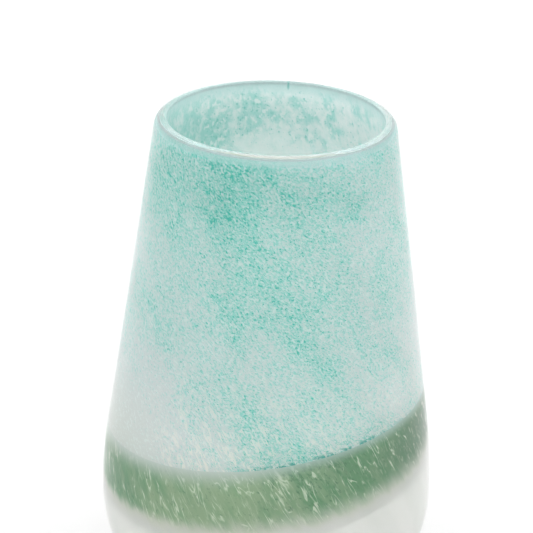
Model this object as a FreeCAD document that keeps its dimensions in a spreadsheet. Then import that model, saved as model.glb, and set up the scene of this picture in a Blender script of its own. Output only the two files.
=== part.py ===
import FreeCAD, Part

import math
import os

import Sketcher

# A hand blown vase of cased glass, in millimetres, +Z up, with its origin at the middle of the foot.
# From inside out its wall is a clear inner gather, a white opal coat, a coat of coloured glass
# (aqua frit above, a wound sage ring below it) and a clear outer gather, which also makes the
# foot and the fire-polished lip.

DIMENSIONS = {
    # outer form
    "height": 270.0,
    "rim_radius": 60.35,  # of the straight flank, carried up to the rim plane
    "taper_angle": 7.66,  # between the straight flank and the axis
    "flank_arc": 347.0,
    "belly_arc": 82.6,
    "widest_radius": 85.0,
    "widest_height": 69.5,
    "foot_height": 0.0,
    "heel_arc": 7.0,
    # layers of the wall, from outside in
    "casing_wall": 1.9,
    "colour_wall": 0.5,
    "opal_wall": 0.6,
    "gather_wall": 3.0,
    # undersides of the layers, floor of the cavity, and the round that joins each to its wall
    "colour_floor": 7.5,
    "opal_floor": 8.0,
    "gather_floor": 8.6,
    "cavity_floor": 14.0,
    "colour_heel_arc": 16.5,
    "opal_heel_arc": 16.0,
    "gather_heel_arc": 15.4,
    "cavity_heel_arc": 24.0,
    # the inner layers stop under the lip, and the tool that cuts the cavity passes the rim
    "layer_top": 268.6,
    "cavity_top": 280.0,
    "lip_outer_round": 5.4,
    "lip_inner_round": 1.0,
    # edges of the sage ring: height on the axis, tilt, and the azimuth that the tilt rises to
    "ring_top_height": 116.1,
    "ring_top_tilt": 8.8,
    "ring_top_azimuth": 10.8,
    "ring_bottom_height": 90.1,
    "ring_bottom_tilt": 9.2,
    "ring_bottom_azimuth": 29.4,
    # ground and polished mark of the punty rod under the foot
    "punty_radius": 17.0,
    "punty_depth": 1.6,
    # cylinders that trim the coats to their edges
    "trim_radius": 130.0,
    "trim_height": 320.0,
}

WALL_LAYERS = ("casing_wall", "colour_wall", "opal_wall", "gather_wall")

# places on a piece of sketch geometry, and the sketch's own origin and vertical axis
START, END, CENTRE = 1, 2, 3
ORIGIN, VERTICAL = -1, -2

doc = FreeCAD.newDocument("blown_glass_vase")


def fill_sheet():
    sheet = doc.addObject("Spreadsheet::Sheet", "dims")
    for row, (alias, value) in enumerate(DIMENSIONS.items(), start=1):
        sheet.set(f"A{row}", alias)
        sheet.set(f"B{row}", str(value))
        sheet.setAlias(f"B{row}", alias)
    doc.recompute()


def section_sketch(body, name):
    sketch = body.newObject("Sketcher::SketchObject", name)
    plane = next(p for p in body.Origin.OriginFeatures if p.Role == "XZ_Plane")
    sketch.AttachmentSupport = (plane, [""])
    sketch.MapMode = "FlatFace"
    return sketch


def line(x1, z1, x2, z2):
    return Part.LineSegment(FreeCAD.Vector(x1, z1, 0), FreeCAD.Vector(x2, z2, 0))


def arc(x, z, radius, start, end):
    circle = Part.Circle(FreeCAD.Vector(x, z, 0), FreeCAD.Vector(0, 0, 1), radius)
    return Part.ArcOfCircle(circle, start, end)


def bind(sketch, name, expression, *constraint):
    index = sketch.addConstraint(Sketcher.Constraint(*constraint))
    sketch.renameConstraint(index, name)
    sketch.setExpression(f"Constraints.{name}", expression)


def join_ends(sketch, kind, *curves):
    for first, second in zip(curves, curves[1:]):
        sketch.addConstraint(Sketcher.Constraint(kind, first, END, second, START))


def form_sketch(body, name, layers, floor, heel, top):
    """Half section of the vase's form, with that many layers taken off its outer surface.

    It runs from the axis along the floor, round the heel, up the belly arc, the flank arc and
    the straight flank to the top, and back to the axis. The arcs keep their centres at every
    depth, so that each layer has one thickness from the belly to the lip.
    """
    depth = sum(DIMENSIONS[wall] for wall in WALL_LAYERS[:layers])
    floor_z, heel_r, top_z = DIMENSIONS[floor], DIMENSIONS[heel], DIMENSIONS[top]
    lean = math.radians(DIMENSIONS["taper_angle"])
    belly_r = DIMENSIONS["belly_arc"] - depth
    flank_r = DIMENSIONS["flank_arc"] - depth
    belly_x = DIMENSIONS["widest_radius"] - DIMENSIONS["belly_arc"]
    belly_z = DIMENSIONS["widest_height"]
    top_x = DIMENSIONS["rim_radius"] - depth / math.cos(lean)
    top_x += (DIMENSIONS["height"] - top_z) * math.tan(lean)

    # the belly arc passes into the flank arc at the angle that brings the flank to the top point
    inset = (belly_x - top_x) * math.cos(lean) + (belly_z - top_z) * math.sin(lean) + flank_r
    join = lean - math.acos(inset / (flank_r - belly_r))
    flank_x = belly_x - (flank_r - belly_r) * math.cos(join)
    flank_z = belly_z - (flank_r - belly_r) * math.sin(join)

    # the heel arc lies inside the belly arc and touches it and the floor
    heel_z = floor_z + heel_r
    heel_x = belly_x + math.sqrt((belly_r - heel_r) ** 2 - (belly_z - heel_z) ** 2)
    heel_end = math.atan2(heel_z - belly_z, heel_x - belly_x)

    sketch = section_sketch(body, name)
    flank_end_x = flank_x + flank_r * math.cos(lean)
    flank_end_z = flank_z + flank_r * math.sin(lean)
    foot, heel_curve, belly, flank, straight, lid, axis = sketch.addGeometry(
        [
            line(0, floor_z, heel_x, floor_z),
            arc(heel_x, heel_z, heel_r, -math.pi / 2, heel_end),
            arc(belly_x, belly_z, belly_r, heel_end, join),
            arc(flank_x, flank_z, flank_r, join, lean),
            line(flank_end_x, flank_end_z, top_x, top_z),
            line(top_x, top_z, 0, top_z),
            line(0, top_z, 0, floor_z),
        ]
    )
    join_ends(sketch, "Tangent", foot, heel_curve, belly, flank, straight)
    join_ends(sketch, "Coincident", straight, lid, axis, foot)
    for point in (START, END):
        sketch.addConstraint(Sketcher.Constraint("PointOnObject", axis, point, VERTICAL))
    for level in (foot, lid):
        sketch.addConstraint(Sketcher.Constraint("Horizontal", level))

    off = " + ".join(f"dims.{wall}" for wall in WALL_LAYERS[:layers]) or "0"
    top_radius = (
        f"dims.rim_radius + (dims.height - dims.{top}) * tan(dims.taper_angle)"
        f" - ({off}) / cos(dims.taper_angle)"
    )
    bind(sketch, "heel", f"dims.{heel}", "Radius", heel_curve, heel_r)
    bind(sketch, "belly", f"dims.belly_arc - ({off})", "Radius", belly, belly_r)
    bind(sketch, "flank", f"dims.flank_arc - ({off})", "Radius", flank, flank_r)
    bind(sketch, "belly_x", "dims.widest_radius - dims.belly_arc",
         "DistanceX", ORIGIN, START, belly, CENTRE, belly_x)
    bind(sketch, "belly_z", "dims.widest_height",
         "DistanceY", ORIGIN, START, belly, CENTRE, belly_z)
    bind(sketch, "lean", "90 + dims.taper_angle", "Angle", straight, math.pi / 2 + lean)
    bind(sketch, "top_radius", top_radius, "DistanceX", ORIGIN, START, straight, END, top_x)
    bind(sketch, "top", f"dims.{top}", "DistanceY", ORIGIN, START, straight, END, top_z)
    bind(sketch, "span", f"dims.{top} - dims.{floor}",
         "DistanceY", foot, START, axis, START, top_z - floor_z)
    return sketch


def punty_sketch(body):
    """Half section of the shallow bowl that is ground into the foot."""
    radius, depth = DIMENSIONS["punty_radius"], DIMENSIONS["punty_depth"]
    bowl = (radius**2 + depth**2) / (2 * depth)
    sketch = section_sketch(body, "punty_section")
    level, hollow, axis = sketch.addGeometry(
        [
            line(0, 0, radius, 0),
            arc(0, depth - bowl, bowl, math.atan2(bowl - depth, radius), math.pi / 2),
            line(0, depth, 0, 0),
        ]
    )
    join_ends(sketch, "Coincident", level, hollow, axis, level)
    sketch.addConstraint(Sketcher.Constraint("Coincident", level, START, ORIGIN, START))
    sketch.addConstraint(Sketcher.Constraint("Horizontal", level))
    sketch.addConstraint(Sketcher.Constraint("Vertical", axis))
    sketch.addConstraint(Sketcher.Constraint("PointOnObject", hollow, CENTRE, VERTICAL))
    bind(sketch, "radius", "dims.punty_radius", "DistanceX", level, START, level, END, radius)
    bind(sketch, "depth", "dims.punty_depth", "DistanceY", axis, END, axis, START, depth)
    return sketch


def revolve(body, kind, name, sketch):
    feature = body.newObject(kind, name)
    feature.Profile = sketch
    feature.ReferenceAxis = (sketch, ["V_Axis"])
    feature.Angle = 360.0
    doc.recompute()
    return feature


def round_rim(body, name, base, radius, pick):
    """Rounds the widest (pick=max) or narrowest (pick=min) edge of the rim plane."""
    circles = [
        (edge.Curve.Radius, f"Edge{number}")
        for number, edge in enumerate(base.Shape.Edges, start=1)
        if isinstance(edge.Curve, Part.Circle)
        and math.isclose(edge.Curve.Center.z, DIMENSIONS["height"])
    ]
    fillet = body.newObject("PartDesign::Fillet", name)
    fillet.Base = (base, [pick(circles)[1]])
    fillet.setExpression("Radius", f"dims.{radius}")
    doc.recompute()
    return fillet


def form_body(name, layers, floor, heel, top="layer_top"):
    """Solid of the vase's form, with that many layers taken off it."""
    body = doc.addObject("PartDesign::Body", name)
    sketch = form_sketch(body, f"{name}_section", layers, floor, heel, top)
    revolve(body, "PartDesign::Revolution", f"{name}_turned", sketch)
    return body


def casing_body():
    """The clear outer gather as if it filled the whole wall: foot, belly, flank, cavity and lip."""
    body = doc.addObject("PartDesign::Body", "casing_blank")
    outside = form_sketch(body, "casing_outside", 0, "foot_height", "heel_arc", "height")
    revolve(body, "PartDesign::Revolution", "casing_turned", outside)
    inside = form_sketch(
        body, "casing_inside", len(WALL_LAYERS), "cavity_floor", "cavity_heel_arc", "cavity_top"
    )
    hollow = revolve(body, "PartDesign::Groove", "casing_hollow", inside)
    lip = round_rim(body, "lip_outside", hollow, "lip_outer_round", max)
    round_rim(body, "lip_inside", lip, "lip_inner_round", min)
    revolve(body, "PartDesign::Groove", "punty_mark", punty_sketch(body))
    return body


def zone_above(edge):
    """Everything above the tilted plane that one edge of the sage ring lies in."""
    zone = doc.addObject("Part::Cylinder", f"above_{edge}")
    zone.setExpression("Radius", "dims.trim_radius")
    zone.setExpression("Height", "dims.trim_height")
    zone.setExpression(
        "Placement",
        f"placement(vector(0; 0; dims.{edge}_height);"
        f" rotation(vector(sin(dims.{edge}_azimuth); -cos(dims.{edge}_azimuth); 0);"
        f" dims.{edge}_tilt))",
    )
    return zone


def combine(kind, name, base, tool):
    result = doc.addObject(kind, name)
    result.Base = base
    result.Tool = tool
    return result


def check(nodes):
    doc.recompute()
    failed = [thing.Name for thing in doc.Objects if {"Invalid", "Error"} & set(thing.State)]
    assert not failed, f"failed objects: {failed}"
    for node in nodes:
        assert not node.Shape.isNull() and node.Shape.isValid(), f"bad shape: {node.Label}"
        assert len(node.Shape.Solids) == 1, f"not one solid: {node.Label}"


fill_sheet()

colour_form = form_body("colour_form", 1, "colour_floor", "colour_heel_arc")
opal_form = form_body("opal_form", 2, "opal_floor", "opal_heel_arc")
gather_form = form_body("gather_form", 3, "gather_floor", "gather_heel_arc")
cavity_form = form_body("cavity_form", 4, "cavity_floor", "cavity_heel_arc", "cavity_top")
casing_blank = casing_body()
above_ring_top = zone_above("ring_top")
above_ring_bottom = zone_above("ring_bottom")

# the opal coat lies round the inner gather, and both stop under the lip
inner_gather = combine("Part::Cut", "inner_gather", gather_form, cavity_form)
opal_layer = combine("Part::Cut", "opal_layer", opal_form, gather_form)

# the coloured coat is aqua frit down to the ring's upper edge, then sage down to its lower edge
frit_filled = combine("Part::Common", "frit_filled", colour_form, above_ring_top)
aqua_frit_layer = combine("Part::Cut", "aqua_frit_layer", frit_filled, opal_form)
coat_filled = combine("Part::Common", "coat_filled", colour_form, above_ring_bottom)
ring_filled = combine("Part::Cut", "ring_filled", coat_filled, above_ring_top)
sage_ring = combine("Part::Cut", "sage_ring", ring_filled, opal_form)

# the clear casing holds the opal coat everywhere and the coloured coat where there is one
casing_over_opal = combine("Part::Cut", "casing_over_opal", casing_blank, opal_form)
clear_casing = combine("Part::Cut", "clear_casing", casing_over_opal, coat_filled)

nodes = (inner_gather, opal_layer, aqua_frit_layer, sage_ring, clear_casing)
check(nodes)

os.makedirs("parts", exist_ok=True)
for node in nodes:
    node.Shape.exportStep(f"parts/{node.Label}.step")
    low, high = node.Shape.BoundBox.ZMin, node.Shape.BoundBox.ZMax
    print(f"{node.Label}: {node.Shape.Volume / 1000:.1f} cm3, z {low:.1f} to {high:.1f}")
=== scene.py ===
import math

import bmesh
import bpy
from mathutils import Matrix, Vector


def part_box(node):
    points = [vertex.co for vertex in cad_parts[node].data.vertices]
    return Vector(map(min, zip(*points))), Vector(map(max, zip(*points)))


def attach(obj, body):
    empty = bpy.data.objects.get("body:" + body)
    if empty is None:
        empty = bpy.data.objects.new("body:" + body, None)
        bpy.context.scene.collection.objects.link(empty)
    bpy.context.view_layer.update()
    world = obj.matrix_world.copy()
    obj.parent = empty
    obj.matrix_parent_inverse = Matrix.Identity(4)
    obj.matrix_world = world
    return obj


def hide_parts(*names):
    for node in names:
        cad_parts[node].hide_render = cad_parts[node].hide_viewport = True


# A hand blown vase of cased glass, in metres, standing on its foot at the origin.
# Its wall is built of nested skins of the same form: the clear casing, the aqua frit coat, the
# sage ring, the opal coat and the clear inner gather.

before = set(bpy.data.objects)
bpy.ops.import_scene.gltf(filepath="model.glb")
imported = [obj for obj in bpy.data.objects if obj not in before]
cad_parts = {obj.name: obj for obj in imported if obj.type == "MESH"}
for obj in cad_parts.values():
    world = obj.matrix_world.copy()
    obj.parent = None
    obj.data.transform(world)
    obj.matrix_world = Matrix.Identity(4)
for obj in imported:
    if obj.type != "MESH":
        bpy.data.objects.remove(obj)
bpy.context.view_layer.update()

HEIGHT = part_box("clear_casing")[1].z
LAYER_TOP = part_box("opal_layer")[1].z

# outer form: straight flank, flank arc and belly arc, each tangent to the next
LEAN = math.radians(7.66)
RIM_RADIUS = 0.06035
FLANK_ARC = 0.347
BELLY_ARC = 0.0826
WIDEST_RADIUS = 0.085
WIDEST_HEIGHT = 0.0695
BELLY_X = WIDEST_RADIUS - BELLY_ARC

# depth of each skin under the outer surface
COAT_DEPTH = 0.0019
OPAL_DEPTH = 0.0024
GATHER_DEPTH = 0.0030
CAVITY_DEPTH = 0.0060
# height of each skin's floor, and the round that joins the floor to the wall
OUTER_HEEL = 0.007
OPAL_FLOOR, OPAL_HEEL = 0.008, 0.016
GATHER_FLOOR, GATHER_HEEL = 0.0086, 0.0154
CAVITY_FLOOR, CAVITY_HEEL = 0.014, 0.024
# rounds of the lip, and the shallow mark of the punty rod under the foot
LIP_ROUND, LIP_INNER_ROUND = 0.0054, 0.001
PUNTY_RADIUS, PUNTY_DEPTH = 0.017, 0.0016
# how far the ring's shell goes on below its lower plane, where its colour has faded to opal
RING_FEATHER = 0.009
# the clear glass reaches this far into the opal coat, so that no air gap shows between them
BITE = 0.0002
# the coats end just inside the clear lip
COAT_TOP = LAYER_TOP + BITE / 2

# faces round the vase, up each skin, along a floor and round an arc
SEGMENTS = 192
OUTER_ROWS, SKIN_ROWS, FRIT_ROWS, RING_ROWS = 96, 84, 72, 32
FLOOR_STEPS, ARC_STEPS, SMALL_ARC_STEPS = 14, 12, 6


# ---------------------------------------------------------------- form


def flank_centre():
    """Centre of the flank arc, and the angle at which the belly arc passes into it."""
    reach = FLANK_ARC - BELLY_ARC
    inset = (BELLY_X - RIM_RADIUS) * math.cos(LEAN)
    inset += (WIDEST_HEIGHT - HEIGHT) * math.sin(LEAN) + FLANK_ARC
    join = LEAN - math.acos(inset / reach)
    return BELLY_X - reach * math.cos(join), WIDEST_HEIGHT - reach * math.sin(join), join


FLANK_X, FLANK_Z, JOIN = flank_centre()


def wall_radius(z, depth):
    """Radius of the skin that lies depth under the outer surface, at height z above the heel."""
    if z > FLANK_Z + (FLANK_ARC - depth) * math.sin(LEAN):
        return RIM_RADIUS + (HEIGHT - z) * math.tan(LEAN) - depth / math.cos(LEAN)
    if z > WIDEST_HEIGHT + (BELLY_ARC - depth) * math.sin(JOIN):
        return FLANK_X + math.sqrt((FLANK_ARC - depth) ** 2 - (z - FLANK_Z) ** 2)
    return BELLY_X + math.sqrt((BELLY_ARC - depth) ** 2 - (z - WIDEST_HEIGHT) ** 2)


def arc_points(x, z, radius, start, end, count):
    """Points along an arc about (x, z), from one angle to another."""
    step = (end - start) / count
    return [
        (x + radius * math.cos(start + i * step), z + radius * math.sin(start + i * step))
        for i in range(count + 1)
    ]


def heel_points(depth, floor, heel):
    """From the axis along the floor and round the heel to where the belly arc begins."""
    heel_z = floor + heel
    reach = BELLY_ARC - depth - heel
    heel_x = BELLY_X + math.sqrt(reach**2 - (WIDEST_HEIGHT - heel_z) ** 2)
    end = math.atan2(heel_z - WIDEST_HEIGHT, heel_x - BELLY_X)
    flat = [(heel_x * i / FLOOR_STEPS, floor) for i in range(FLOOR_STEPS)]
    return flat + arc_points(heel_x, heel_z, heel, -math.pi / 2, end, ARC_STEPS)


def wall_points(base, top, depth, rows):
    """Up the wall from just above base to top, as (radius, height) points."""
    heights = [base + (top - base) * i / rows for i in range(1, rows + 1)]
    return [(wall_radius(z, depth), z) for z in heights]


def skin(depth, floor, heel, top):
    """The whole skin from the axis to the top, as (radius, height) points."""
    points = heel_points(depth, floor, heel)
    return points + wall_points(points[-1][1], top, depth, SKIN_ROWS)


def hand_wobble(angle, z):
    """How far hand work leaves the wall from true, the same for every skin."""
    return (
        0.00016 * math.sin(2 * angle + 0.7 + 9 * z)
        + 0.00010 * math.sin(3 * angle - 1.9 + 23 * z)
        + 0.00006 * math.sin(5 * angle + 2.6 - 41 * z)
    )


def place(radius, angle, z):
    """A point of the wall in space, with the wobble dying away towards the axis."""
    r = radius + hand_wobble(angle, z) * min(1.0, radius / 0.03)
    return (r * math.cos(angle), r * math.sin(angle), z)


# ---------------------------------------------------------------- meshes


def make_object(name, mesh, materials):
    """Puts a smooth-shaded mesh in the scene with its materials."""
    piece = bpy.data.objects.new(name, mesh)
    bpy.context.scene.collection.objects.link(piece)
    for material in materials:
        mesh.materials.append(material)
    for face in mesh.polygons:
        face.use_smooth = True
    mesh.set_sharp_from_angle(angle=math.radians(50))
    return piece


def turn(name, outline, slots, materials):
    """Turns a closed outline about the axis. slots gives the material of each of its sides."""
    build = bmesh.new()
    rings = []
    for radius, z in outline:
        if radius < 1e-7:
            rings.append([build.verts.new((0, 0, z))])
        else:
            angles = [2 * math.pi * i / SEGMENTS for i in range(SEGMENTS)]
            rings.append([build.verts.new(place(radius, angle, z)) for angle in angles])
    for side, slot in enumerate(slots):
        lower, upper = rings[side], rings[(side + 1) % len(rings)]
        if len(lower) == len(upper) == 1:
            continue
        for i in range(SEGMENTS):
            j = (i + 1) % SEGMENTS
            corners = [lower[i % len(lower)], lower[j % len(lower)]]
            corners += [upper[j % len(upper)], upper[i % len(upper)]]
            face = build.faces.new(list(dict.fromkeys(corners)))
            face.material_index = slot
    bmesh.ops.recalc_face_normals(build, faces=build.faces)
    mesh = bpy.data.meshes.new(name)
    build.to_mesh(mesh)
    build.free()
    return make_object(name, mesh, materials)


def band_shell(name, low_edge, high_edge, section, rows, materials, capped=False):
    """A closed shell between two edges that rise and fall round the body.

    section gives the (outer, inner) depth of the shell at a share of the way up it. A capped
    shell shows its top edge, and the other edges are fused to what they meet.
    """
    build = bmesh.new()
    columns = []
    for i in range(SEGMENTS):
        angle = 2 * math.pi * i / SEGMENTS
        low, high = low_edge(angle), high_edge(angle)
        heights = [low + (high - low) * row / rows for row in range(rows + 1)]
        loop = [(z, section(row / rows)[0]) for row, z in enumerate(heights)]
        loop += [(z, section(row / rows)[1]) for row, z in reversed(list(enumerate(heights)))]
        columns.append([build.verts.new(place(wall_radius(z, d), angle, z)) for z, d in loop])
    for i in range(SEGMENTS):
        here, there = columns[i], columns[(i + 1) % SEGMENTS]
        for k in range(len(here)):
            m = (k + 1) % len(here)
            face = build.faces.new([here[k], there[k], there[m], here[m]])
            face.material_index = 0 if k < rows or (capped and k == rows) else 1
    bmesh.ops.recalc_face_normals(build, faces=build.faces)
    mesh = bpy.data.meshes.new(name)
    build.to_mesh(mesh)
    build.free()
    return make_object(name, mesh, materials)


# ---------------------------------------------------------------- node helpers


class Nodes:
    """Short calls for building one material's node tree."""

    def __init__(self, name):
        self.material = bpy.data.materials.new(name)
        self.material.use_nodes = True
        self.tree = self.material.node_tree
        self.tree.nodes.clear()
        self.output = self.tree.nodes.new("ShaderNodeOutputMaterial")

    def node(self, kind, inputs=(), **settings):
        made = self.tree.nodes.new(kind)
        for key, value in settings.items():
            setattr(made, key, value)
        for socket, value in dict(inputs).items():
            self.feed(made.inputs[socket], value)
        return made

    def feed(self, socket, value):
        if isinstance(value, bpy.types.NodeSocket):
            self.tree.links.new(value, socket)
        else:
            socket.default_value = value

    def math(self, operation, a, b=0.0, clamp=False):
        made = self.node("ShaderNodeMath", {0: a, 1: b}, operation=operation)
        made.use_clamp = clamp
        return made.outputs[0]

    def times(self, a, b):
        return self.math("MULTIPLY", a, b)

    def plus(self, a, b, clamp=False):
        return self.math("ADD", a, b, clamp)

    def away(self, value, centre):
        """How far a value lies from a centre, either way."""
        return self.math("ABSOLUTE", self.math("SUBTRACT", value, centre))

    def ease(self, value, low, high, out_low=0.0, out_high=1.0):
        """Goes smoothly from out_low to out_high while the value goes from low to high."""
        inputs = {"Value": value, "From Min": low, "From Max": high}
        inputs.update({"To Min": out_low, "To Max": out_high})
        made = self.node("ShaderNodeMapRange", inputs, interpolation_type="SMOOTHSTEP")
        return made.outputs["Result"]

    def noise(self, vector, scale, detail=2.0, roughness=0.5, distortion=0.0):
        """Soft random values round a half, with about scale of them to the metre."""
        inputs = {"Vector": vector, "Scale": scale, "Detail": detail}
        inputs.update({"Roughness": roughness, "Distortion": distortion})
        return self.node("ShaderNodeTexNoise", inputs).outputs["Fac"]

    def mix(self, factor, a, b, blend="MIX"):
        """From colour a to colour b, or to a shaded by b, as the factor rises."""
        made = self.node("ShaderNodeMix", data_type="RGBA", blend_type=blend)
        self.feed(made.inputs["Factor"], factor)
        self.feed(made.inputs["A"], a)
        self.feed(made.inputs["B"], b)
        return made.outputs["Result"]

    def position(self):
        return self.node("ShaderNodeTexCoord").outputs["Object"]

    def across_and_up(self):
        """The X and the Z of the point."""
        split = self.node("ShaderNodeSeparateXYZ", {0: self.position()})
        return split.outputs["X"], split.outputs["Z"]

    def along(self, direction):
        """How far the point lies in a direction."""
        made = self.node("ShaderNodeVectorMath", {0: self.position(), 1: direction},
                         operation="DOT_PRODUCT")
        return made.outputs["Value"]

    def twisted(self, twist, stretch, offset=(0.0, 0.0, 0.0)):
        """Position turned about the axis as it rises, and drawn out along that helix."""
        place = self.position()
        split = self.node("ShaderNodeSeparateXYZ", {0: place})
        turned = self.node(
            "ShaderNodeVectorRotate",
            {"Vector": place, "Angle": self.times(split.outputs["Z"], twist)},
            rotation_type="Z_AXIS",
        )
        return self.node(
            "ShaderNodeMapping",
            {"Vector": turned.outputs[0], "Location": offset, "Scale": (1.0, 1.0, 1.0 / stretch)},
        ).outputs[0]


# how many times light crosses a coat, all in all, before it leaves the glass
CROSSINGS = 2.2


def colour(red, green, blue):
    """A coat's own colour, from how it looks on a screen under the clear casing.

    Light crosses the coat several times before it leaves the glass, which deepens its colour, so
    the coat itself is paler than it looks.
    """
    seen = [((c / 255 + 0.055) / 1.055) ** 2.4 for c in (red, green, blue)]
    return (*(c ** (1 / CROSSINGS) for c in seen), 1.0)


# ---------------------------------------------------------------- materials

GLASS_IOR = 1.5

# aqua frit
GROUND = colour(211, 219, 221)
BARE_GROUND = colour(207, 215, 211)
WASH = colour(195, 230, 226)
AQUA = colour(108, 207, 193)
DEEP_AQUA = colour(22, 167, 146)
SEAM_AQUA = colour(34, 136, 124)
SMOOTH_PALE = colour(186, 206, 208)
SMOOTH_AQUA = colour(140, 200, 191)
# painted shade for the frit just under the lip
UNDER_LIP_PAINTED_SHADE = (0.90, 0.95, 0.95, 1.0)
# pale specks: small seeds in the glass, partly painted glint
SEED_GLINT = colour(227, 241, 240)
# drawn-out seeds in the glass, partly painted glint
CREAM_SEED_GLINT = colour(246, 243, 236)
# sage ring
SAGE = colour(124, 162, 114)
DEEP_SAGE = colour(62, 125, 73)
DARK_SAGE = colour(44, 90, 56)
PIT_SAGE = colour(44, 94, 56)
STRAW = colour(224, 240, 212)
HAZY_EDGE = colour(196, 208, 206)
CLEAN_EDGE = colour(152, 184, 174)
LOWER_EDGE = colour(204, 207, 194)
# opal, seen from outside and from inside
OPAL = colour(213, 213, 211)
VEIL = colour(203, 205, 202)
PLAIN_OPAL = colour(255, 254, 252)
MILK = colour(255, 250, 251)
THIN_MILK = colour(228, 236, 236)
MILK_LUMP = colour(255, 249, 250)
SHOWN_AQUA = colour(138, 204, 196)
SHOWN_SPECK = colour(80, 176, 164)
# aqua just under the inner rim, partly painted shade where light from above falls
RIM_AQUA_AND_SHADE = colour(166, 198, 197)
# painted shade inside, towards the mouth
HIGH_PAINTED_SHADE = (0.93, 0.93, 0.93, 1.0)
THREAD = colour(52, 142, 134)
# where the coats end, greyed as painted shade at the lip, and clear glass
LIP_END_SHADE = colour(162, 181, 182)
CLEAR = (0.997, 1.0, 0.999, 1.0)
LIP_SHADED_CLEAR = (0.92, 0.92, 0.925, 1.0)

# painted shade at the lip: in the last of its height a coat is greyed, and so is the clear glass
# over it
LIP_SHADE_SPAN = (LAYER_TOP - 0.0012, LAYER_TOP)

# the sage ring lies between two tilted planes, each given by height, tilt and azimuth
RING_TOP_PLANE = (0.1161, math.radians(8.8), math.radians(10.8))
RING_BOTTOM_PLANE = (0.0901, math.radians(9.2), math.radians(29.4))


def above(n, plane):
    """Height over a tilted plane."""
    height, tilt, azimuth = plane
    slope = (-math.tan(tilt) * math.cos(azimuth), -math.tan(tilt) * math.sin(azimuth), 1.0)
    return n.math("SUBTRACT", n.along(slope), height)


def frosted_body(n, base, through=0.6):
    """Milky glass: light that lands on it scatters back, and a share of it comes through."""
    body = {"Base Color": base, "Roughness": 0.35, "IOR": GLASS_IOR, "Specular IOR Level": 0.1}
    front = n.node("ShaderNodeBsdfPrincipled", body)
    back = n.node("ShaderNodeBsdfTranslucent", {"Color": base})
    mixed = n.node("ShaderNodeMixShader", {0: through, 1: front.outputs[0], 2: back.outputs[0]})
    n.feed(n.output.inputs["Surface"], mixed.outputs[0])
    return n.material


def opal_colour(n):
    """Cloudy milk white with faint drawn-out veils."""
    clouds = n.noise(n.twisted(7.0, 3.0), 60.0, 3.0, 0.55)
    return n.mix(n.ease(clouds, 0.35, 0.7), OPAL, VEIL)


def shade_at_lip(n, tint):
    """Painted shade: every coat is greyed where it ends and the clear lip closes over it."""
    _, height = n.across_and_up()
    return n.mix(n.ease(height, *LIP_SHADE_SPAN), tint, LIP_END_SHADE)


def opal_material():
    n = Nodes("opal_glass")
    return frosted_body(n, shade_at_lip(n, opal_colour(n)))


def dark_thread(n):
    """Where a thin dark thread runs down the back wall from the rim."""
    start = (0.0058, 0.057, 0.2672)
    # distances through the wall and down it count for less, which draws the spot out
    shortening = (1.0, 0.1, 0.34)
    apart = n.node("ShaderNodeVectorMath", {0: n.position(), 1: start}, operation="SUBTRACT")
    drawn = n.node("ShaderNodeVectorMath", {0: apart.outputs[0], 1: shortening},
                   operation="MULTIPLY")
    far = n.node("ShaderNodeVectorMath", {0: drawn.outputs[0]}, operation="LENGTH")
    return n.ease(far.outputs["Value"], 0.0003, 0.0009, 0.8, 0.0)


def opal_inside_material():
    """The opal coat seen through the inner gather, with the aqua frit showing through it."""
    n = Nodes("opal_glass_inside")
    cloud = n.noise(n.twisted(-2.0, 1.3, (0.3, 0.1, 0.7)), 80.0, 2.0, 0.5, 0.3)
    blotch = n.noise(n.twisted(-3.0, 1.4, (0.1, 0.6, 0.2)), 260.0, 3.0, 0.6)
    lump = n.noise(n.twisted(-2.0, 1.4, (0.9, 0.4, 0.2)), 430.0, 2.0, 0.5)
    speck = n.noise(n.twisted(-3.0, 1.2, (0.4, 0.2, 0.6)), 620.0, 2.0, 0.6)
    across, height = n.across_and_up()
    # the aqua shows through in blotches, most of it high up and on the left
    thick = n.plus(blotch, n.ease(cloud, 0.3, 0.7, -0.14, 0.14))
    thick = n.plus(thick, n.ease(height, 0.205, 0.246, -0.24, 0.02))
    thick = n.plus(thick, n.ease(across, -0.045, 0.035, 0.12, -0.06))
    # a milky haze low in the middle of the back wall: partly milk in the opal, partly a painted
    # pool of light
    milk_and_painted_light = n.times(n.ease(n.away(across, -0.003), 0.004, 0.034, 1.0, 0.0),
                   n.ease(height, 0.228, 0.258, 1.0, 0.0))
    thick = n.plus(thick, n.times(milk_and_painted_light, -0.33))
    tint = n.mix(n.ease(thick, 0.05, 0.45), MILK, THIN_MILK)
    tint = n.mix(n.ease(thick, 0.36, 0.72), tint, SHOWN_AQUA)
    # specks of frit and lumps of milk, fewer to either side
    middle = n.ease(n.away(across, 0.0), 0.036, 0.052, 1.0, 0.2)
    speck = n.ease(n.plus(speck, n.times(thick, 0.2)), 0.69, 0.81)
    tint = n.mix(n.times(speck, middle), tint, SHOWN_SPECK)
    lump = n.times(n.ease(lump, 0.53, 0.66, 0.0, 0.85), middle)
    tint = n.mix(lump, tint, MILK_LUMP)
    # painted shade: the inside is darkened towards the mouth
    tint = n.mix(n.ease(height, 0.222, 0.258), tint, HIGH_PAINTED_SHADE, "MULTIPLY")
    # just under the rim: partly aqua reaching the rim, partly painted shade where light from above
    # falls
    tint = n.mix(n.ease(height, 0.2605, 0.2668, 0.0, 0.85), tint, RIM_AQUA_AND_SHADE)
    # under the frit there is only the opal, with a breath of the ring's green
    over = above(n, RING_TOP_PLANE)
    tint = n.mix(n.ease(over, 0.0, 0.05), PLAIN_OPAL, tint)
    ring = n.times(n.ease(over, -0.008, 0.004, 1.0, 0.0),
                   n.ease(above(n, RING_BOTTOM_PLANE), -0.008, 0.006, 0.0, 0.35))
    tint = shade_at_lip(n, n.mix(ring, tint, SAGE))
    return frosted_body(n, n.mix(dark_thread(n), tint, THREAD), through=0.2)


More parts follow.
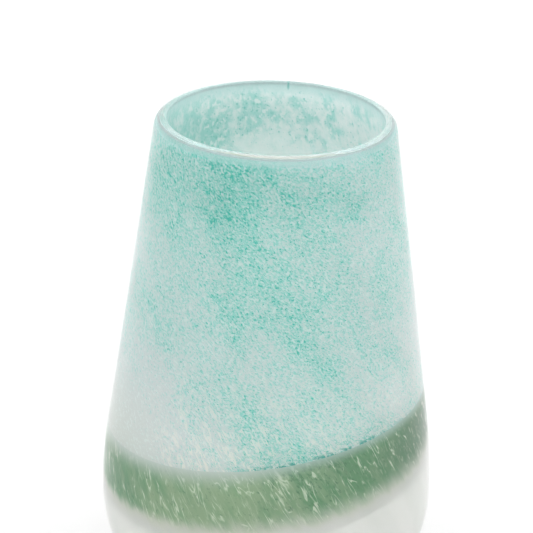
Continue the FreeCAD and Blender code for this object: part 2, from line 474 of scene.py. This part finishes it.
def frit_amount(n):
    """How thickly the crushed glass lies: in clouds, thinning downward and to either side."""
    cloud = n.noise(n.twisted(8.0, 1.4, (0.2, 0.7, 0.1)), 30.0, 3.0, 0.55)
    _, height = n.across_and_up()
    rise = n.ease(height, 0.105, 0.245, 0.18, 0.71)
    side = n.away(n.along((1.0, 0.0, 0.22)), 0.041)
    amount = n.plus(n.times(rise, n.ease(side, 0.0, 0.075, 1.0, 0.50)), -0.04)
    # low down it gathers in one slanting drift at the front
    drift = n.away(n.along((1.0, 0.0, 0.4)), 0.068)
    drift = n.times(n.ease(drift, 0.0, 0.040, 0.26, -0.06), n.ease(height, 0.125, 0.180, 1.0, 0.0))
    return n.plus(n.plus(amount, drift), n.ease(cloud, 0.25, 0.75, -0.22, 0.22), clamp=True)


def seam_line(n, over, across):
    """A broken dark line where the frit ends at the ring, from the middle to the right."""
    broken = n.noise(n.twisted(7.0, 0.5, (0.3, 0.3, 0.8)), 300.0, 3.0, 0.7)
    line = n.times(n.ease(over, 0.0005, 0.0026, 1.0, 0.0), n.ease(broken, 0.42, 0.54))
    line = n.times(line, n.ease(across, -0.02, 0.0))
    return n.times(line, n.ease(across, 0.045, 0.070, 1.0, 0.3))


def drawn_seed_glints(n, over, across):
    """Pale flecks low in the frit, drawn out along the helix, fewer to either side: drawn-out
    seeds, partly painted glint.
    """
    fleck = n.noise(n.twisted(6.8, 3.0, (0.7, 0.5, 0.2)), 560.0, 2.0, 0.55, 0.9)
    low = n.times(n.ease(over, 0.0, 0.068, 1.0, 0.0), n.ease(across, -0.02, 0.06, 1.0, 0.5))
    low = n.times(low, n.ease(across, -0.065, -0.040, 0.0, 1.0))
    return n.times(n.ease(fleck, 0.55, 0.60), low)


def seam_veins(n, over, across):
    """Fine dark veins that wander just over the ring, at the front."""
    wander = n.noise(n.twisted(5.0, 0.7, (0.6, 0.1, 0.9)), 210.0, 3.0, 0.6, 0.5)
    vein = n.times(n.ease(n.away(wander, 0.5), 0.004, 0.018, 0.9, 0.0),
                   n.ease(over, 0.002, 0.014, 1.0, 0.0))
    vein = n.times(vein, n.ease(across, -0.03, 0.0))
    return n.times(vein, n.ease(across, 0.05, 0.075, 1.0, 0.0))


def aqua_material():
    """Crushed aqua glass melted into a pale ground, thinning to pale glass at the ring."""
    n = Nodes("aqua_frit_glass")
    across, height = n.across_and_up()
    over = above(n, RING_TOP_PLANE)
    amount = frit_amount(n)
    clump = n.noise(n.twisted(7.7, 1.0, (0.1, 0.9, 0.3)), 150.0, 2.0, 0.6)
    lift = n.times(n.plus(amount, n.ease(clump, 0.3, 0.7, -0.16, 0.16)), 0.245)
    grain = n.noise(n.twisted(7.7, 1.0), 900.0, 2.0, 0.6)
    coarse = n.noise(n.twisted(7.7, 1.0, (0.5, 0.2, 0.4)), 760.0, 3.0, 0.65)
    white = n.noise(n.twisted(7.7, 1.0, (0.8, 0.3, 0.9)), 700.0, 1.0, 0.5)
    tint = n.mix(amount, GROUND, WASH)
    # low on the left the frit gives out before it meets the ring
    bare = n.times(n.ease(over, 0.005, 0.055, 1.0, 0.0), n.ease(across, -0.080, -0.040, 1.0, 0.0))
    lift = n.plus(lift, n.times(bare, -0.20))
    tint = n.mix(bare, tint, BARE_GROUND)
    tint = n.mix(n.ease(n.plus(grain, lift), 0.52, 0.74), tint, AQUA)
    tint = n.mix(n.ease(n.plus(coarse, lift), 0.645, 0.78), tint, DEEP_AQUA)
    # pale specks: small seeds in the glass, partly painted glint
    tint = n.mix(n.ease(white, 0.555, 0.665, 0.0, 0.9), tint, SEED_GLINT)
    tint = n.mix(seam_line(n, over, across), tint, SEAM_AQUA)
    # drawn-out seeds, partly painted glint
    tint = n.mix(drawn_seed_glints(n, over, across), tint, CREAM_SEED_GLINT)
    tint = n.mix(seam_veins(n, over, across), tint, DEEP_AQUA)
    # the frit melts smooth near its upper edge; painted shade darkens it under the lip and greys
    # it where the clear lip closes over it
    smooth = n.mix(amount, SMOOTH_PALE, SMOOTH_AQUA)
    tint = n.mix(n.ease(height, 0.2640, 0.2668, 0.0, 0.75), tint, smooth)
    # painted shade: the frit is darkened over its last 5 mm under the lip
    tint = n.mix(n.ease(height, 0.2620, 0.2670), tint, UNDER_LIP_PAINTED_SHADE, "MULTIPLY")
    return frosted_body(n, shade_at_lip(n, tint))


def pale_threads(n, across):
    """Pale threads drawn out along the helix, broken into strands, and fewer at the ends."""
    thread = n.noise(n.twisted(6.8, 4.0, (0.7, 0.5, 0.2)), 230.0, 2.0, 0.5, 1.0)
    strand = n.noise(n.twisted(6.8, 2.5, (0.2, 0.4, 0.8)), 220.0, 2.0, 0.6)
    strand = n.plus(strand, n.ease(across, -0.02, 0.05, 0.02, -0.01))
    strand = n.plus(strand, n.ease(across, -0.08, -0.045, -0.06, 0.0))
    strand = n.plus(strand, n.ease(across, 0.045, 0.070, 0.0, -0.05))
    return n.times(n.ease(n.away(thread, 0.5), 0.006, 0.046, 1.0, 0.0),
                   n.ease(strand, 0.44, 0.57))


def sage_material():
    """Sage glass, feathered into the glass on both sides and shot through with pale threads."""
    n = Nodes("sage_glass")
    across, _ = n.across_and_up()
    wisp = n.noise(n.twisted(6.8, 2.5), 160.0, 2.0, 0.5)
    up = n.plus(above(n, RING_BOTTOM_PLANE), n.ease(wisp, 0.3, 0.7, -0.0012, 0.0012))
    down = n.times(above(n, RING_TOP_PLANE), -1.0)
    # smoke in the green, which is deepest at the two ends
    smoke = n.noise(n.twisted(7.0, 2.0, (0.4, 0.1, 0.3)), 120.0, 3.0, 0.6)
    depth = n.plus(n.ease(smoke, 0.3, 0.7, -0.45, 0.45), n.ease(across, -0.01, 0.045, 0.10, 0.90))
    depth = n.plus(depth, n.ease(across, -0.074, -0.044, 0.95, 0.0), clamp=True)
    tint = n.mix(depth, SAGE, DEEP_SAGE)
    tint = n.mix(n.ease(across, 0.045, 0.080, 0.0, 0.8), tint, DARK_SAGE)
    # dark pits, most of them right of the middle and under the upper edge
    pit = n.noise(n.twisted(6.8, 1.2, (0.2, 0.9, 0.6)), 480.0, 3.0, 0.7)
    front = n.ease(n.away(across, 0.028), 0.0, 0.04, 0.06, 0.0)
    brink = n.times(n.ease(down, 0.001, 0.012, 0.09, 0.0), n.ease(front, 0.0, 0.04))
    pit = n.plus(n.plus(pit, front), brink)
    tint = n.mix(n.ease(pit, 0.57, 0.72, 0.0, 0.8), tint, PIT_SAGE)
    hair = n.noise(n.twisted(6.2, 5.0, (0.3, 0.8, 0.5)), 620.0, 2.0, 0.6, 1.2)
    tint = n.mix(n.ease(hair, 0.56, 0.70, 0.0, 0.35), tint, STRAW)
    tint = n.mix(pale_threads(n, across), tint, STRAW)
    # the upper edge is hazy on the left and cleaner on the right
    crisp = n.times(down, n.ease(across, -0.03, 0.04, 1.0, 1.8))
    edge = n.mix(n.ease(across, -0.02, 0.035), HAZY_EDGE, CLEAN_EDGE)
    tint = n.mix(n.ease(crisp, -0.002, 0.011), edge, tint)
    # the lower edge feathers out into the opal, faster and lower on the left
    low = n.times(up, n.ease(across, -0.07, 0.0, 2.2, 1.0))
    low = n.plus(low, n.ease(across, -0.07, -0.03, 0.002, 0.0))
    tint = n.mix(n.ease(low, -0.0055, 0.0085), LOWER_EDGE, tint)
    tint = n.mix(n.ease(up, -0.0070, -0.0010), opal_colour(n), tint)
    return frosted_body(n, tint)


def clear_material(name, ripple):
    """Clear glass with a faint ripple."""
    n = Nodes(name)
    waves = n.noise(n.twisted(6.0, 3.0), 30.0, 2.0, 0.4)
    bump = n.node("ShaderNodeBump", {"Strength": ripple, "Distance": 0.001, "Height": waves})
    # painted shade: the clear glass is greyed over the lip, which dims what shows through it
    _, height = n.across_and_up()
    tint = n.mix(n.ease(height, *LIP_SHADE_SPAN), CLEAR, LIP_SHADED_CLEAR)
    glass = n.node(
        "ShaderNodeBsdfPrincipled",
        {
            "Base Color": tint, "Roughness": 0.0, "IOR": GLASS_IOR,
            "Transmission Weight": 1.0, "Normal": bump.outputs[0],
        },
    )
    n.feed(n.output.inputs["Surface"], glass.outputs[0])
    return n.material


def fused_material():
    """Face where two bodies of clear glass run together, so light crosses it unbent."""
    n = Nodes("fused_joint")
    clear = n.node("ShaderNodeBsdfTransparent")
    n.feed(n.output.inputs["Surface"], clear.outputs[0])
    return n.material


# ---------------------------------------------------------------- pieces


def tilted_edge(height, tilt, azimuth):
    """Height of a tilted plane's cut round the wall, found by stepping onto the wall."""
    def edge(angle):
        z = height
        for _ in range(6):
            rise = wall_radius(z, COAT_DEPTH) * math.tan(tilt) * math.cos(angle - azimuth)
            z = height + rise
        return z
    return edge


RING_TOP = tilted_edge(*RING_TOP_PLANE)
RING_BOTTOM = tilted_edge(*RING_BOTTOM_PLANE)


def make_casing(glass, fused):
    """Clear outer gather with its foot, punty mark and lip."""
    # the mark is hollowed to a shallow curve that runs out at the foot's flat ring
    mark_radii = [0.0035 * i for i in range(5)] + [0.0165]
    outer = [(r, PUNTY_DEPTH * (1 - (r / PUNTY_RADIUS) ** 2)) for r in mark_radii]
    outer += [(r, z) for r, z in heel_points(0.0, 0.0, OUTER_HEEL) if r > PUNTY_RADIUS]
    lip_z = HEIGHT - LIP_ROUND
    outer += wall_points(outer[-1][1], lip_z + LIP_ROUND * math.sin(LEAN), 0.0, OUTER_ROWS)
    lip_x = RIM_RADIUS - LIP_ROUND / math.cos(LEAN) + LIP_ROUND * math.tan(LEAN)
    outer += arc_points(lip_x, lip_z, LIP_ROUND, LEAN, math.pi / 2, ARC_STEPS)[1:]
    inner_x = RIM_RADIUS - (CAVITY_DEPTH - LIP_INNER_ROUND) / math.cos(LEAN)
    inner_x += LIP_INNER_ROUND * math.tan(LEAN)
    outer += arc_points(inner_x, HEIGHT - LIP_INNER_ROUND, LIP_INNER_ROUND,
                        math.pi / 2, math.pi + LEAN, SMALL_ARC_STEPS)
    outer.append((wall_radius(LAYER_TOP, CAVITY_DEPTH), LAYER_TOP))
    buried = skin(OPAL_DEPTH + BITE, OPAL_FLOOR + BITE, OPAL_HEEL - BITE, LAYER_TOP)
    slots = [0] * (len(outer) - 1) + [1] * (len(buried) + 1)
    return turn("clear_casing_glass", outer + buried[::-1], slots, [glass, fused])


def make_gather(glass, fused):
    """Clear inner gather, whose inside is the cavity's wall."""
    inside = skin(CAVITY_DEPTH, CAVITY_FLOOR, CAVITY_HEEL, LAYER_TOP)
    outside = skin(GATHER_DEPTH - BITE, GATHER_FLOOR - BITE, GATHER_HEEL + BITE, LAYER_TOP)
    slots = [0] * (len(inside) - 1) + [1] * (len(outside) + 1)
    return turn("inner_gather_glass", inside + outside[::-1], slots, [glass, fused])


def make_opal(outer_glass, inner_glass):
    """White coat all round the gather, with one look outside and another inside."""
    outside = skin(OPAL_DEPTH, OPAL_FLOOR, OPAL_HEEL, COAT_TOP)
    inside = skin(GATHER_DEPTH, GATHER_FLOOR, GATHER_HEEL, COAT_TOP)
    slots = [0] * len(outside) + [1] * len(inside)
    return turn("opal_coat", outside + inside[::-1], slots, [outer_glass, inner_glass])


def frit_section(share):
    """The frit's shell has the same depth all the way up."""
    return COAT_DEPTH, OPAL_DEPTH + BITE / 2


def ring_section(share):
    """The ring's shell thickens outward from its feathered lower edge."""
    outward = min(1.0, share / 0.4 - 0.1)
    return OPAL_DEPTH - (OPAL_DEPTH - COAT_DEPTH) * outward, OPAL_DEPTH + BITE / 2


def make_frit(glass, fused):
    """Aqua coat from the ring up to the lip, with its top edge showing through the lip."""
    return band_shell("aqua_frit_coat", RING_TOP, lambda angle: COAT_TOP, frit_section, FRIT_ROWS,
                      [glass, fused], capped=True)


def make_ring(glass, fused):
    """Sage ring wound round the belly."""
    return band_shell("sage_ring_glass", lambda angle: RING_BOTTOM(angle) - RING_FEATHER, RING_TOP,
                      ring_section, RING_ROWS, [glass, fused])


def settle(piece, node):
    """Puts a piece on the vase's one body, in the place of its CAD node."""
    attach(piece, "root")
    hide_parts(node)


def make_vase():
    fused = fused_material()
    settle(make_casing(clear_material("clear_casing_glass", 0.15), fused),
           "clear_casing")
    settle(make_gather(clear_material("clear_inner_glass", 0.25), fused),
           "inner_gather")
    settle(make_opal(opal_material(), opal_inside_material()), "opal_layer")
    settle(make_frit(aqua_material(), fused), "aqua_frit_layer")
    settle(make_ring(sage_material(), fused), "sage_ring")


# ---------------------------------------------------------------- stage


def make_camera():
    """Long lens from above the front, tipped a little to the left."""
    distance, pivot_height = 1.65, 0.16
    elevation, roll = math.radians(23.13), math.radians(1.56)
    rise = pivot_height + distance * math.sin(elevation)
    stand = Vector((0.0, -distance * math.cos(elevation), rise))
    aim = Vector((-0.00288, 0.0, 0.1895))
    data = bpy.data.cameras.new("camera")
    data.lens = 218.1
    data.sensor_width = 36.0
    data.clip_start, data.clip_end = 0.05, 50.0
    camera = bpy.data.objects.new("camera", data)
    camera.location = stand
    camera.rotation_euler = (aim - stand).to_track_quat("-Z", "Y").to_euler()
    camera.rotation_euler.rotate_axis("Z", roll)
    bpy.context.scene.collection.objects.link(camera)
    bpy.context.scene.camera = camera


def make_floor():
    """Pale paper, just clear of the foot."""
    half = 6.0
    gap = 0.0002
    mesh = bpy.data.meshes.new("floor")
    mesh.from_pydata([(-half, -half, 0), (half, -half, 0), (half, half, 0), (-half, half, 0)],
                     [], [(0, 1, 2, 3)])
    n = Nodes("floor_paper")
    grain = n.noise(n.position(), 900.0, 2.0)
    paper = n.mix(grain, (0.385, 0.385, 0.385, 1.0), (0.40, 0.40, 0.40, 1.0))
    shader = n.node("ShaderNodeBsdfPrincipled", {"Base Color": paper, "Roughness": 0.9})
    n.feed(n.output.inputs["Surface"], shader.outputs[0])
    floor = make_object("floor", mesh, [n.material])
    floor.location.z = -gap


def make_light():
    """An even white studio, brighter overhead."""
    world = bpy.data.worlds.new("studio")
    bpy.context.scene.world = world
    world.use_nodes = True
    tree = world.node_tree
    where = tree.nodes.new("ShaderNodeTexCoord")
    split = tree.nodes.new("ShaderNodeSeparateXYZ")
    rise = tree.nodes.new("ShaderNodeMapRange")
    rise.interpolation_type = "SMOOTHSTEP"
    for socket, value in (("From Min", 0.2), ("From Max", 1.0), ("To Min", 1.42), ("To Max", 3.6)):
        rise.inputs[socket].default_value = value
    back = tree.nodes["Background"]
    back.inputs["Color"].default_value = (1.0, 1.0, 1.0, 1.0)
    tree.links.new(where.outputs["Generated"], split.inputs[0])
    tree.links.new(split.outputs["Z"], rise.inputs["Value"])
    tree.links.new(rise.outputs["Result"], back.inputs["Strength"])
    scene = bpy.context.scene
    scene.view_settings.view_transform = "Standard"
    # light crosses many layers of glass, and none of it is dropped or blurred on the way
    scene.cycles.blur_glossy = 0.0
    scene.cycles.max_bounces = 64
    scene.cycles.diffuse_bounces = 32
    scene.cycles.transmission_bounces = 48
    scene.cycles.glossy_bounces = 16
    scene.cycles.transparent_max_bounces = 128


make_camera()
make_vase()
make_floor()
make_light()
